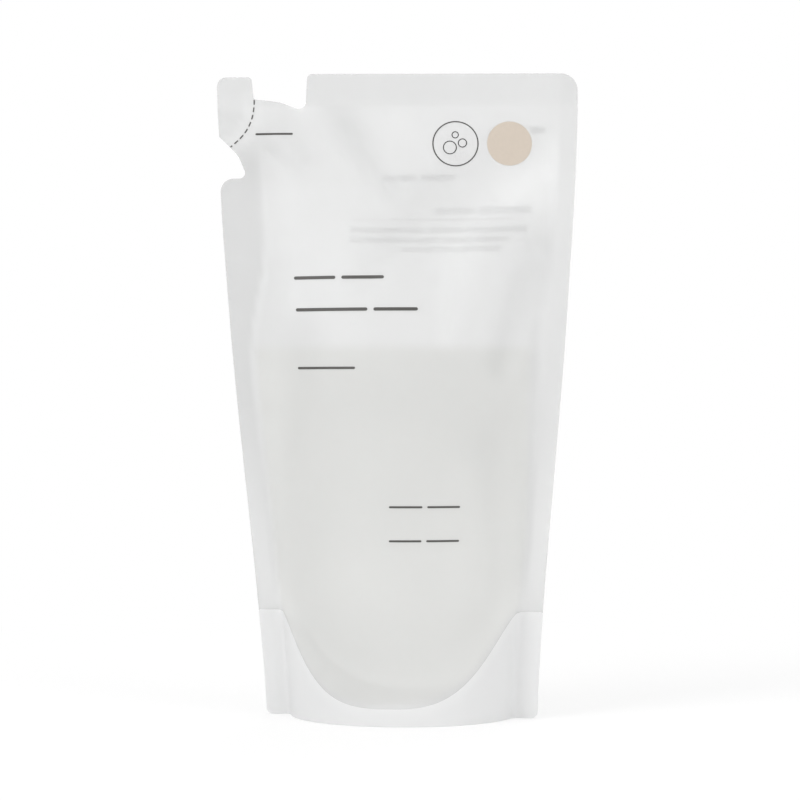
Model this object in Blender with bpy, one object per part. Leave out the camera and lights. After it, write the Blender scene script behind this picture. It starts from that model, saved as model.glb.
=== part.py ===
"""Stand-up refill pouch with a tear-off spout, a bottom gusset and liquid inside.

Metres, +Z up. The pouch stands on z = 0 with its front towards -Y and the spout at -X.
Each film is drawn flat, as it was cut, and then formed without stretching: across the pouch
its length stays that of the flat film, so the filled body draws in towards the foot.
In what follows u runs across the flat film, from the middle, and v runs up it, from the foot.
"""

import math

import bmesh
import bpy
import numpy as np
from mathutils import Matrix, Vector
from mathutils.geometry import delaunay_2d_cdt

# Film and clearances
FILM = 0.0003
GAP = 0.0003
FOLD_SLIT = 0.0003
LIQUID_GAP = 0.0004

# Flat panels
FLAT_WIDTH = 0.110
HEIGHT = 0.1953
TOP_CORNER_RADIUS = 0.0052
FOOT_CORNER_RADIUS = 0.0018

# Heat seals
SIDE_SEAL = 0.0055
SPOUT_SIDE_SEAL = 0.0120
SPOUT_SIDE_SEAL_END = 0.108
SPOUT_SIDE_SEAL_FULL = 0.146
TOP_SEAL = 0.0093
SEAL_EASE = 0.0035

# Tear-off tab: sizes, and how far its top lies below the body's
TAB_WIDTH = 0.0106
TAB_HEIGHT = 0.0181
TAB_DROP = 0.0009
TAB_OUTER_RADIUS = 0.0029
TAB_INNER_RADIUS = 0.0012
TAB_FOOT_RADIUS = 0.0009
TAB_LEAN = 0.0009
TAB_DRAW_IN = 0.0005

# Spout: distances from the left edge, and drops from the top edge
SPOUT_TOP_DROP = 0.0076
SPOUT_TOP_RADIUS = 0.0004
SPOUT_LIP_DISTANCE = 0.0192
SPOUT_LIP_DROP = 0.0085
SPOUT_LIP_RADIUS = 0.012
SLOT_DISTANCE = 0.0277
SLOT_DROP = 0.0115
SLOT_LEAN = 0.0006
SLOT_RADIUS = 0.0021
SHOULDER_RADIUS = 0.0014
THROAT_DISTANCE = 0.0061
THROAT_DROP = 0.0246
THROAT_RADIUS = 0.008
NOTCH_DISTANCE = 0.0087
NOTCH_DROP = 0.0317
NOTCH_RADIUS = 0.0018
LOWER_SHOULDER_RADIUS = 0.0043
LOWER_SHOULDER_INSET = 0.0002
LOWER_SHOULDER_RUN = 0.012

# Open pour channel inside the spout
CHANNEL_HALF_WIDTH = 0.0052
CHANNEL_RISE = 0.0010
CHANNEL_TAPER = 0.5
CHANNEL_ROOT_DISTANCE = 0.0237
CHANNEL_ROOT_DROP = 0.0252

# Filled body
HALF_DEPTH = 0.0283
DEPTH_POWER = 1.45
DEPTH_ROUNDING = 0.78
FOOT_SHIFT = 0.0014
FOOT_TURN = math.radians(7)
SEAM_TAPER = 0.022

# Bottom gusset
GUSSET_HEIGHT = 0.032
SKIRT = 0.0052
SEAL_LINE_POWER = 1.25
GUSSET_SAG = 0.40
SAG_EASE = 0.003
MIDDLE_DRAW = 0.75
SPAN_LIFT = 0.0005
GUSSET_INSET = 0.0011

# Liquid
FILL_HEIGHT = 0.1118
LIQUID_SIDE_MARGIN = 0.0030
FOLD_ROOM = 0.0012
SPAN_ROOM = 0.0008

# Facets
BODY_COLUMNS = 9
BEND_WIDTH = 0.0040
BEND_COLUMNS = 3
ROW_STEP = 0.0070
EDGE_CLEARANCE = 0.0026
ARC_STEP = math.radians(22)
SHARP_ANGLE = math.radians(35)
SECTION_STEPS = 90
NORMAL_REACH = 0.0008
LEG_STEPS = 4
SPAN_STEPS = 7
SIDE_STEPS = 13

HALF_WIDTH = FLAT_WIDTH / 2
SEAL_EDGE = HALF_WIDTH - SIDE_SEAL
TOP_SEAL_EDGE = HEIGHT - TOP_SEAL

# How far from the seals and the skirt the dents and ridges have their full height
CREASE_SIDE_FADE = 0.014
CREASE_TOP_FADE = 0.012
CREASE_FOOT_FADE = 0.030
CREASE_TAPER = 0.4

# Dents and ridges of the film: start (u, v), end (u, v), half width, how far it stands out
FRONT_CREASES = [
    ((-0.017, 0.182), (0.001, 0.158), 0.0060, -0.0011),
    ((0.041, 0.164), (0.017, 0.112), 0.0065, 0.0010),
    ((0.045, 0.150), (0.033, 0.110), 0.0060, -0.0011),
    ((-0.036, 0.152), (-0.020, 0.122), 0.0075, 0.0008),
    ((-0.030, 0.120), (-0.034, 0.074), 0.0070, -0.0007),
    ((0.030, 0.080), (0.036, 0.044), 0.0060, -0.0006),
    ((-0.006, 0.152), (0.012, 0.126), 0.0080, -0.0007),
]
BACK_CREASES = [
    ((0.018, 0.178), (-0.004, 0.150), 0.0070, -0.0010),
    ((-0.038, 0.160), (-0.018, 0.116), 0.0070, 0.0009),
    ((0.034, 0.140), (0.022, 0.106), 0.0065, -0.0009),
    ((0.028, 0.092), (0.036, 0.048), 0.0070, -0.0006),
]


def smooth_step(low, high, value):
    """Go smoothly from 0 at low to 1 at high."""
    t = min(max((value - low) / (high - low), 0.0), 1.0)
    return t * t * (3.0 - 2.0 * t)


def left_seal_edge(v):
    """Return how far left of the middle the open film reaches at height v."""
    wide = smooth_step(SPOUT_SIDE_SEAL_END, SPOUT_SIDE_SEAL_FULL, v)
    return HALF_WIDTH - SIDE_SEAL - (SPOUT_SIDE_SEAL - SIDE_SEAL) * wide


def body_depth(v):
    """Return how far the middle of one panel stands off the sealed plane at height v."""
    share = min(max(v / TOP_SEAL_EDGE, 0.0), 1.0)
    return HALF_DEPTH * (1.0 - share**DEPTH_POWER) ** DEPTH_ROUNDING


def foot_shift(v):
    """Return how far the middle stands to the right of the top's middle at height v."""
    return FOOT_SHIFT * (1.0 - v / HEIGHT) ** 2


def stand(point):
    """Turn a point of the formed pouch as the standing foot is turned against the top."""
    turned = point.copy()
    turned.rotate(Matrix.Rotation(-FOOT_TURN * (1.0 - point.z / HEIGHT), 3, "Z"))
    return turned


def bent_strip(half_length, end_angle):
    """Bend half a film strip, and return its running x and its height off the sealed plane."""
    run = np.linspace(0.0, half_length, SECTION_STEPS)
    ease = np.clip((half_length - run) / SEAL_EASE, 0.0, 1.0)
    angle = end_angle * (run / half_length) * ease * ease * (3.0 - 2.0 * ease)
    step = run[1] - run[0]
    along = (np.cos(angle[1:]) + np.cos(angle[:-1])) / 2.0 * step
    drop = (np.sin(angle[1:]) + np.sin(angle[:-1])) / 2.0 * step
    x = np.concatenate([[0.0], np.cumsum(along)])
    fallen = np.concatenate([[0.0], np.cumsum(drop)])
    return run, x, fallen[-1] - fallen


SECTIONS = {}


def section(v):
    """Return the bent cross-section of a panel at height v, kept for the next call."""
    key = round(v, 7)
    if key not in SECTIONS:
        left = -left_seal_edge(v)
        right = SEAL_EDGE
        half_length = (right - left) / 2.0
        depth = body_depth(v)
        low, high = 0.0, math.pi
        for _ in range(32):
            angle = (low + high) / 2.0
            if bent_strip(half_length, angle)[2][0] < depth:
                low = angle
            else:
                high = angle
        SECTIONS[key] = (left, right) + bent_strip(half_length, low)
    return SECTIONS[key]


def segment_distance(u, v, start, end):
    """Return the distance of (u, v) from a segment, and how far along it that point lies."""
    du, dv = end[0] - start[0], end[1] - start[1]
    share = ((u - start[0]) * du + (v - start[1]) * dv) / (du * du + dv * dv)
    share = min(max(share, 0.0), 1.0)
    return math.hypot(u - start[0] - share * du, v - start[1] - share * dv), share


def creases(u, v, lines):
    """Return how far the dents and ridges move the film off its plain form."""
    total = 0.0
    for start, end, half_width, rise in lines:
        distance, share = segment_distance(u, v, start, end)
        taper = 1.0 - CREASE_TAPER * share
        total += rise * taper * math.exp(-((distance / (half_width * taper)) ** 2))
    return total


def spout_channel(u, v):
    """Return the slight rise of the open pour channel between the body and the tab."""
    root = (-HALF_WIDTH + CHANNEL_ROOT_DISTANCE, HEIGHT - CHANNEL_ROOT_DROP)
    tip = (-HALF_WIDTH + TAB_WIDTH / 2.0, HEIGHT - TAB_DROP - TAB_HEIGHT / 2.0)
    distance, share = segment_distance(u, v, root, tip)
    reach = min(distance / CHANNEL_HALF_WIDTH, 1.0)
    return CHANNEL_RISE * (1.0 - CHANNEL_TAPER * share) * (1.0 - reach * reach) ** 2


def gusset_room(v):
    """Return what each panel leaves in the seals for its half of the folded gusset."""
    room = FOLD_SLIT / 2.0 + FILM + GAP
    return room * (1.0 - smooth_step(GUSSET_HEIGHT + GAP, GUSSET_HEIGHT + SEAM_TAPER, v))


def panel_point(u, v, lines):
    """Return x, the distance off the sealed plane, and z of a panel's inner face."""
    left, right, run, strip_x, strip_y = section(v)
    half_length = (right - left) / 2.0
    middle = (right + left) / 2.0
    from_middle = u - middle
    inside = min(abs(from_middle), half_length)
    beyond = abs(from_middle) - inside
    x = float(np.interp(inside, run, strip_x)) + beyond
    height = float(np.interp(inside, run, strip_y))
    left_flange = HALF_WIDTH + left
    right_flange = HALF_WIDTH - right
    shift = foot_shift(v) + (left_flange - right_flange) / 2.0
    free = smooth_step(0.0, CREASE_SIDE_FADE, half_length - abs(from_middle))
    free *= smooth_step(0.0, CREASE_TOP_FADE, TOP_SEAL_EDGE - v)
    free *= smooth_step(0.0, CREASE_FOOT_FADE, v - SKIRT)
    offset = height + creases(u, v, lines) * free + spout_channel(u, v)
    return Vector((math.copysign(x, from_middle) + shift, max(offset, 0.0) + gusset_room(v), v))


def inside_point(u, v, lines, depth):
    """Return the point that lies depth inside a panel's inner face, square to it."""
    low_u, high_u = max(u - NORMAL_REACH, -HALF_WIDTH), min(u + NORMAL_REACH, HALF_WIDTH)
    low_v, high_v = max(v - NORMAL_REACH, 0.0), min(v + NORMAL_REACH, HEIGHT)
    across = panel_point(high_u, v, lines) - panel_point(low_u, v, lines)
    up = panel_point(u, high_v, lines) - panel_point(u, low_v, lines)
    outward = up.cross(across).normalized()
    if outward.y < 0.0:
        outward = -outward
    point = panel_point(u, v, lines) - outward * depth
    return Vector((point.x, point.y, v))


def rounded_outline(corners):
    """Return an outline through (u, v, radius) corners, each rounded by its own radius."""
    points = []
    count = len(corners)
    for index, (u, v, radius) in enumerate(corners):
        here = Vector((u, v))
        before = (Vector(corners[index - 1][:2]) - here).normalized()
        after = (Vector(corners[(index + 1) % count][:2]) - here).normalized()
        if radius <= 0.0:
            points.append(here)
            continue
        half = before.angle(after) / 2.0
        centre = here + (before + after).normalized() * (radius / math.sin(half))
        first = here + before * (radius / math.tan(half)) - centre
        turn = math.pi - 2.0 * half
        if before.x * after.y - before.y * after.x > 0.0:
            turn = -turn
        steps = max(2, math.ceil(abs(turn) / ARC_STEP))
        for step in range(steps + 1):
            turned = first.copy()
            turned.rotate(Matrix.Rotation(turn * step / steps, 2))
            points.append(centre + turned)
    return points


def panel_outline():
    """Return the cut outline of both panels, anticlockwise from the foot's left corner."""
    left, right, top = -HALF_WIDTH, HALF_WIDTH, HEIGHT
    tab_top = top - TAB_DROP
    notch = top - NOTCH_DROP
    return rounded_outline([
        (left, 0.0, FOOT_CORNER_RADIUS),
        (right, 0.0, FOOT_CORNER_RADIUS),
        (right, top, TOP_CORNER_RADIUS),
        (left + SLOT_DISTANCE, top, SHOULDER_RADIUS),
        (left + SLOT_DISTANCE - SLOT_LEAN, top - SLOT_DROP, SLOT_RADIUS),
        (left + SPOUT_LIP_DISTANCE, top - SPOUT_LIP_DROP, SPOUT_LIP_RADIUS),
        (left + TAB_WIDTH + TAB_LEAN, top - SPOUT_TOP_DROP, SPOUT_TOP_RADIUS),
        (left + TAB_WIDTH, tab_top, TAB_INNER_RADIUS),
        (left, tab_top, TAB_OUTER_RADIUS),
        (left + TAB_DRAW_IN, tab_top - TAB_HEIGHT, TAB_FOOT_RADIUS),
        (left + THROAT_DISTANCE, top - THROAT_DROP, THROAT_RADIUS),
        (left + NOTCH_DISTANCE, notch, NOTCH_RADIUS),
        (left + LOWER_SHOULDER_INSET, notch, LOWER_SHOULDER_RADIUS),
        (left, notch - LOWER_SHOULDER_RUN, 0.0),
    ])


def columns():
    """Return the film's columns from the middle outwards, closer together where it leaves the seal."""
    bend = SEAL_EDGE - BEND_WIDTH
    body = [bend * index / BODY_COLUMNS for index in range(BODY_COLUMNS)]
    edge = [bend + BEND_WIDTH * index / BEND_COLUMNS for index in range(BEND_COLUMNS + 1)]
    return body + edge + [SEAL_EDGE + SIDE_SEAL / 2.0]


def both_sides(places):
    """Return places from the middle outwards as places from left to right."""
    return [-place for place in places[:0:-1]] + places


def edge_points(loop):
    """Add points along the straight runs of a loop, along the foot one at each column."""
    points = []
    for index, here in enumerate(loop):
        after = loop[(index + 1) % len(loop)]
        points.append(here)
        if max(here.y, after.y) < FILM:
            points += [Vector((u, 0.0)) for u in both_sides(columns()) if here.x < u < after.x]
            continue
        parts = max(1, round((after - here).length / ROW_STEP))
        points += [here.lerp(after, part / parts) for part in range(1, parts)]
    return points


def flat_panel():
    """Return the points and triangles of the flat panel."""
    loop = edge_points(panel_outline())
    points = list(loop)
    rows = math.ceil(HEIGHT / ROW_STEP)
    for row in range(1, rows):
        v = HEIGHT * row / rows
        for u in both_sides(columns()):
            here = Vector((u, v))
            if min((here - point).length for point in loop) > EDGE_CLEARANCE:
                points.append(here)
    edges = [(index, (index + 1) % len(loop)) for index in range(len(loop))]
    made = delaunay_2d_cdt(points, edges, [list(range(len(loop)))], 1, 1e-7)
    return made[0], made[2]


def make_material(name, colour, roughness, alpha):
    """Return a Principled material with one colour."""
    material = bpy.data.materials.new(name)
    material.use_nodes = True
    shader = material.node_tree.nodes["Principled BSDF"]
    shader.inputs["Base Color"].default_value = (*colour, 1.0)
    shader.inputs["Roughness"].default_value = roughness
    shader.inputs["Metallic"].default_value = 0.0
    shader.inputs["Alpha"].default_value = alpha
    material.diffuse_color = (*colour, alpha)
    return material


def add_object(name, mesh, material):
    """Add a smooth shaded mesh object to the scene."""
    mesh.materials.append(material)
    mesh.shade_smooth()
    mesh.set_sharp_from_angle(angle=SHARP_ANGLE)
    made = bpy.data.objects.new(name, mesh)
    bpy.context.scene.collection.objects.link(made)
    return made


def join_rings(build, rings):
    """Join each ring of vertices to the next one with quads."""
    for ring, following in zip(rings, rings[1:]):
        for index in range(len(ring)):
            after = (index + 1) % len(ring)
            build.faces.new((ring[index], ring[after], following[after], following[index]))


def finish_body(build, name, material):
    """Turn a closed body's faces outwards and add it to the scene."""
    bmesh.ops.triangulate(build, faces=build.faces[:])
    bmesh.ops.recalc_face_normals(build, faces=build.faces[:])
    mesh = bpy.data.meshes.new(name)
    build.to_mesh(mesh)
    build.free()
    return add_object(name, mesh, material)


def make_panel(name, side, lines, material):
    """Form one flat panel, side -1 for the front and 1 for the back, and give it its film."""
    points, triangles = flat_panel()
    build = bmesh.new()
    vertices = []
    for point in points:
        x, y, z = panel_point(point.x, point.y, lines)
        vertices.append(build.verts.new(stand(Vector((x, side * y, z)))))
    for triangle in triangles:
        corners = [vertices[index] for index in triangle]
        build.faces.new(corners if side < 0 else corners[::-1])
    mesh = bpy.data.meshes.new(name)
    build.to_mesh(mesh)
    build.free()
    panel = add_object(name, mesh, material)
    film = panel.modifiers.new("Film", "SOLIDIFY")
    film.thickness = FILM
    film.offset = 1.0
    film.use_even_offset = True
    return panel


def gusset_seal_height(u):
    """Return the height of the U-shaped line up to which the gusset is sealed to a panel."""
    share = min(abs(u) / SEAL_EDGE, 1.0)
    rise = math.sin(math.pi / 2.0 * share**SEAL_LINE_POWER) ** 2
    return SKIRT + (GUSSET_HEIGHT - SKIRT) * rise


def foot_edge(u):
    """Return how high the film's lower edge is at its rounded foot corners."""
    into = abs(u) - (HALF_WIDTH - FOOT_CORNER_RADIUS)
    if into <= 0.0:
        return 0.0
    into = min(into, FOOT_CORNER_RADIUS)
    return FOOT_CORNER_RADIUS - math.sqrt(FOOT_CORNER_RADIUS**2 - into**2)


def keel_x(u):
    """Return the x of column u on the gusset's middle line."""
    if abs(u) > SEAL_EDGE:
        return panel_point(u, GUSSET_HEIGHT, []).x
    end = panel_point(math.copysign(SEAL_EDGE, u), GUSSET_HEIGHT, [])
    shift = foot_shift(GUSSET_HEIGHT)
    share = abs(u) / SEAL_EDGE
    drawn = share * (1.0 - MIDDLE_DRAW * share**3 * (1.0 - share))
    return shift + (end.x - shift) * drawn


def span_point(u, share):
    """Return a point of the gusset's underside, share of the way from its seal line to the middle.

    The span sags from the seal line, and where it would hang lower it lies on the floor.
    """
    start = inside_point(u, gusset_seal_height(u), [], GAP + FILM)
    x = keel_x(u)
    rest = 1.0 - share
    blend = rest * rest
    sag = GUSSET_SAG * start.y * start.y / (start.y + SAG_EASE)
    height = start.z - sag * (1.0 - blend)
    return Vector((x + (start.x - x) * blend, start.y * rest, max(height, 0.0)))


def half_span(u, lift):
    """Return the points of the lifted underside from beside the seal line to the middle."""
    upward = Vector((0.0, 0.0, lift))
    return [span_point(u, step / SPAN_STEPS) + upward for step in range(1, SPAN_STEPS + 1)]


def to_front(points):
    """Return points given by their distance off the sealed plane, on the front side."""
    return [Vector((point.x, -point.y, point.z)) for point in points]


def gusset_loop(u):
    """Return the gusset's closed section at column u: its outer face, and back along its inner one."""
    foot = foot_edge(u)
    seal_top = gusset_seal_height(u)
    outer, inner = [], []
    for step in range(LEG_STEPS + 1):
        share = step / LEG_STEPS
        outer.append(inside_point(u, foot + (seal_top + SPAN_LIFT - foot) * share, [], GAP))
        inner.append(inside_point(u, foot + (seal_top - foot) * share, [], GAP + FILM))
    outer += half_span(u, SPAN_LIFT)
    inner += half_span(u, 0.0)
    outer = to_front(outer) + outer[-2::-1]
    inner = to_front(inner) + inner[-2::-1]
    return outer + inner[::-1]


def make_gusset(material):
    """Fold the bottom film across the pouch."""
    build = bmesh.new()
    rings = []
    for u in both_sides(columns()[:-1] + [HALF_WIDTH - GUSSET_INSET]):
        rings.append([build.verts.new(stand(point)) for point in gusset_loop(u)])
    join_rings(build, rings)
    count = len(rings[0])
    for ring in (rings[0], rings[-1]):
        for index in range(count // 2 - 1):
            build.faces.new((ring[index], ring[index + 1], ring[-index - 2], ring[-index - 1]))
    return finish_body(build, "bottom_gusset", material)


def liquid_side(u, lines):
    """Return the liquid's points at column u, down one panel and in along the gusset."""
    foot = gusset_seal_height(u) + SPAN_LIFT + FOLD_ROOM
    side = []
    for step in range(SIDE_STEPS + 1):
        v = FILL_HEIGHT + (foot - FILL_HEIGHT) * step / SIDE_STEPS
        side.append(inside_point(u, v, lines, LIQUID_GAP))
    return side + half_span(u, SPAN_LIFT + SPAN_ROOM)


def make_liquid(material):
    """Join the liquid's two sides into one closed body with a level top."""
    widest = SEAL_EDGE - LIQUID_SIDE_MARGIN
    build = bmesh.new()
    rings = []
    for u in both_sides([place for place in columns() if place < widest - LIQUID_GAP] + [widest]):
        front = to_front(liquid_side(u, FRONT_CREASES))
        back = liquid_side(u, BACK_CREASES)
        rings.append([build.verts.new(stand(point)) for point in front + back[-2::-1]])
    join_rings(build, rings)
    count = len(rings[0])
    for ring in (rings[0], rings[-1]):
        for index in range(count // 2 - 1):
            build.faces.new((ring[index], ring[index + 1], ring[-index - 2], ring[-index - 1]))
        build.faces.new(ring[count // 2 - 1:count // 2 + 2])
    return finish_body(build, "soap_fill", material)


def clear_scene():
    """Remove every object of the start-up scene."""
    for existing in list(bpy.data.objects):
        bpy.data.objects.remove(existing, do_unlink=True)


def main():
    """Build the pouch."""
    clear_scene()
    film = make_material("frosted_film", (0.86, 0.87, 0.87), 0.35, 0.45)
    gusset_film = make_material("gusset_film", (0.84, 0.85, 0.85), 0.35, 0.45)
    liquid = make_material("clear_liquid", (0.74, 0.75, 0.74), 0.08, 0.55)
    pouch = bpy.data.objects.new("pouch", None)
    bpy.context.scene.collection.objects.link(pouch)
    pieces = [
        make_panel("front_film", -1.0, FRONT_CREASES, film),
        make_panel("back_film", 1.0, BACK_CREASES, film),
        make_gusset(gusset_film),
        make_liquid(liquid),
    ]
    for piece in pieces:
        piece.parent = pouch


main()
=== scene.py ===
"""Stand-up refill pouch of frosted film: its dressed pieces, stage, lights and camera.

The pouch's forming functions are those of the part's source, on a finer grid and with the film's
small puckers. u runs across the flat film from its middle, and v runs up it from the foot.
"""

import math

import bmesh
import bpy
import numpy as np
from mathutils import Matrix, Vector
from mathutils.bvhtree import BVHTree
from mathutils.geometry import delaunay_2d_cdt

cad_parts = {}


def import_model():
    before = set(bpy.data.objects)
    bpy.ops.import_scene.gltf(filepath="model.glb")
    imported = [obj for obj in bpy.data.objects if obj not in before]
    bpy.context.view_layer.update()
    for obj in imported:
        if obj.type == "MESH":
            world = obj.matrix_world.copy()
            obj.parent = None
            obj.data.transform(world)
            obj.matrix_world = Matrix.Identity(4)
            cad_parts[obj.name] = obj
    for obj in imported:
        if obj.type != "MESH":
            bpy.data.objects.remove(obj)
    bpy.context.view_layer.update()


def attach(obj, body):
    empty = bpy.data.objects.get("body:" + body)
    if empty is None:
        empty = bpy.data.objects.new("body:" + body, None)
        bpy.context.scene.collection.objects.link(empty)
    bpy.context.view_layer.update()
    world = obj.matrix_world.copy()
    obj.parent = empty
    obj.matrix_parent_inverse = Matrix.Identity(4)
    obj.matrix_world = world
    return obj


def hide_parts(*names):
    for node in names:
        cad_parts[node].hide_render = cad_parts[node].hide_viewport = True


# Film and clearances
FILM = 0.0003
SHEET = 0.00012
GAP = 0.0003
FOLD_SLIT = 0.0003
SEAL_SLIT = 0.00004
LIQUID_GAP = 0.00008

# Flat panels
FLAT_WIDTH = 0.110
HEIGHT = 0.1953
TOP_CORNER_RADIUS = 0.0052
FOOT_CORNER_RADIUS = 0.0018

# Heat seals
SIDE_SEAL = 0.0055
SPOUT_SIDE_SEAL = 0.0120
SPOUT_SIDE_SEAL_END = 0.108
SPOUT_SIDE_SEAL_FULL = 0.146
TOP_SEAL = 0.0093
SEAL_EASE = 0.0035

# Tear-off tab
TAB_WIDTH = 0.0106
TAB_HEIGHT = 0.0181
TAB_DROP = 0.0009
TAB_OUTER_RADIUS = 0.0029
TAB_INNER_RADIUS = 0.0012
TAB_FOOT_RADIUS = 0.0009
TAB_LEAN = 0.0009
TAB_DRAW_IN = 0.0005

# Spout: distances from the left edge, and drops from the top edge
SPOUT_TOP_DROP = 0.0076
SPOUT_TOP_RADIUS = 0.0004
SPOUT_LIP_DISTANCE = 0.0192
SPOUT_LIP_DROP = 0.0085
SPOUT_LIP_RADIUS = 0.012
SLOT_DISTANCE = 0.0277
SLOT_DROP = 0.0115
SLOT_LEAN = 0.0006
SLOT_RADIUS = 0.0021
SHOULDER_RADIUS = 0.0014
THROAT_DISTANCE = 0.0061
THROAT_DROP = 0.0246
THROAT_RADIUS = 0.008
NOTCH_DISTANCE = 0.0087
NOTCH_DROP = 0.0317
NOTCH_RADIUS = 0.0018
LOWER_SHOULDER_RADIUS = 0.0043
LOWER_SHOULDER_INSET = 0.0002
LOWER_SHOULDER_RUN = 0.012

# Open pour channel inside the spout
CHANNEL_HALF_WIDTH = 0.0052
CHANNEL_RISE = 0.0010
CHANNEL_TAPER = 0.5
CHANNEL_ROOT_DISTANCE = 0.0237
CHANNEL_ROOT_DROP = 0.0252

# Filled body
HALF_DEPTH = 0.0283
DEPTH_POWER = 1.45
DEPTH_ROUNDING = 0.78
FOOT_SHIFT = 0.0014
FOOT_TURN = math.radians(7)
SEAM_TAPER = 0.022

# Bottom gusset
GUSSET_HEIGHT = 0.032
SKIRT = 0.0052
SEAL_LINE_POWER = 1.5
GUSSET_SAG = 0.40
SAG_EASE = 0.003
MIDDLE_DRAW = 0.75
SPAN_LIFT = 0.0005
GUSSET_INSET = 0.0011

# Sealed layers between the panels' cut edges: how far inside the edge they lie, and clearance
SEAM_INSETS = (0.00036, 0.00012)
SEAM_ROOM = SEAL_SLIT / 4.0
SEAM_ROWS = 30

# Liquid
FILL_HEIGHT = 0.1118
LIQUID_SIDE_MARGIN = 0.0012
FOLD_ROOM = 0.0006
SPAN_ROOM = 0.0003

# Fineness of the meshes
GRID_STEP = 0.0015
EDGE_CLEARANCE = 0.0007
CUT_PRECISION = 1e-7
MERGE_DISTANCE = 1e-6
ARC_STEP = math.radians(9)
SECTION_STEPS = 120
SECTION_TRIES = 32
SECTION_GRID = 0.001
NORMAL_REACH = 0.0008
BODY_COLUMNS = 30
BEND_WIDTH = 0.0040
BEND_COLUMNS = 6
LEG_STEPS = 8
SPAN_STEPS = 14
SIDE_STEPS = 48
SHARP_ANGLE = math.radians(50)

HALF_WIDTH = FLAT_WIDTH / 2
SEAL_EDGE = HALF_WIDTH - SIDE_SEAL
TOP_SEAL_EDGE = HEIGHT - TOP_SEAL

# Dents and ridges of the film: start (u, v), end (u, v), half width, how far it stands out
CREASE_SIDE_FADE = 0.014
CREASE_TOP_FADE = 0.012
CREASE_FOOT_FADE = 0.030
CREASE_TAPER = 0.4
FRONT_CREASES = [
    ((-0.018, 0.184), (-0.001, 0.158), 0.0060, -0.0019),
    ((-0.027, 0.186), (-0.013, 0.165), 0.0050, 0.0009),
    ((0.001, 0.180), (0.016, 0.160), 0.0060, 0.0007),
    ((0.049, 0.168), (0.023, 0.147), 0.0080, 0.0019),
    ((0.020, 0.139), (0.016, 0.113), 0.0065, 0.0017),
    ((0.046, 0.142), (0.033, 0.106), 0.0075, -0.0019),
    ((0.018, 0.166), (-0.008, 0.132), 0.0070, -0.0010),
    ((-0.036, 0.162), (-0.033, 0.122), 0.0070, 0.0009),
    ((-0.030, 0.112), (-0.034, 0.074), 0.0070, -0.0008),
    ((0.030, 0.080), (0.036, 0.044), 0.0060, -0.0007),
]
BACK_CREASES = [
    ((0.018, 0.178), (-0.004, 0.150), 0.0070, -0.0010),
    ((-0.038, 0.160), (-0.018, 0.116), 0.0070, 0.0009),
    ((0.034, 0.140), (0.022, 0.106), 0.0065, -0.0009),
    ((0.028, 0.092), (0.036, 0.048), 0.0070, -0.0006),
]

# Puckers that run in from the side seals: their height, how far from the seal they start and
# reach, and the wave length and phase of each wave
PUCKER_HEIGHT = 0.00011
PUCKER_REACH = 0.009
PUCKER_START = 0.003
PUCKER_WAVES = [(0.0135, 0.4), (0.0087, 2.1), (0.0213, 4.0)]

# The tear line between the tab and the spout, as a Bezier curve in x and z, and its two seal bands
TEAR_CURVE = [(-0.0435, 0.1879), (-0.0434, 0.1810), (-0.0452, 0.1775), (-0.0509, 0.1731)]
TEAR_BAND = 0.0031
TEAR_STEPS = 40
TEAR_SAMPLES = 200
TEAR_LOOK_AHEAD = 0.0002
DASH = 0.00145
DASH_GAP = 0.00085
DASH_WIDTH = 0.00038
DASH_STEPS = 3
TAB_CHANNEL_TOP = 0.1849

# Bars of print: x start, x end, z of the middle, height
FRONT_BARS = [
    (-0.0310, -0.0182, 0.1329, 0.00100),
    (-0.0164, -0.0035, 0.1329, 0.00100),
    (-0.0303, -0.0084, 0.1232, 0.00100),
    (-0.0066, 0.0067, 0.1232, 0.00100),
    (-0.0296, -0.0120, 0.1056, 0.00075),
    (-0.0017, 0.0082, 0.0643, 0.00062),
    (0.0096, 0.0193, 0.0643, 0.00062),
    (-0.0017, 0.0079, 0.0543, 0.00062),
    (0.0093, 0.0190, 0.0543, 0.00062),
    (-0.0431, -0.0316, 0.1770, 0.00062),
]
BACK_BARS = [
    (-0.0047, 0.0060, 0.1641, 0.0021),
    (0.0070, 0.0177, 0.1641, 0.0021),
    (0.0115, 0.0240, 0.1541, 0.0023),
    (0.0252, 0.0412, 0.1541, 0.0023),
    (-0.0146, 0.0360, 0.1515, 0.0006),
    (-0.0146, 0.0080, 0.1483, 0.0018),
    (0.0092, 0.0395, 0.1483, 0.0018),
    (-0.0147, 0.0128, 0.1453, 0.0018),
    (0.0139, 0.0345, 0.1453, 0.0018),
    (0.0007, 0.0314, 0.1424, 0.0018),
    (0.0405, 0.0452, 0.1781, 0.0024),
]
RING_CENTRE = (0.01788, 0.1736)
RING_RADIUS = 0.0070
RING_LINE = 0.00036
RING_STEPS = 72
BUBBLE_LINE = 0.8 * RING_LINE
BUBBLES = [(-0.0017, -0.0012, 0.0021), (0.0021, 0.0002, 0.0014), (-0.0001, 0.0027, 0.0011)]
DOT_CENTRE = (0.03423, 0.1737)
DOT_RADIUS = 0.0068
DOT_RINGS = 7
PRINT_LIFT = 0.00005
PRINT_THICKNESS = 0.00002
PRINT_STEP = 0.0012
BAR_END_STEPS = 4
BAR_END_BLUNTNESS = 0.05
SOFT_BAR_STEPS = 4
SOFT_ROWS = [(-0.5, 0.0), (-0.2, 0.75), (0.0, 1.0), (0.2, 0.75), (0.5, 0.0)]

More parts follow.
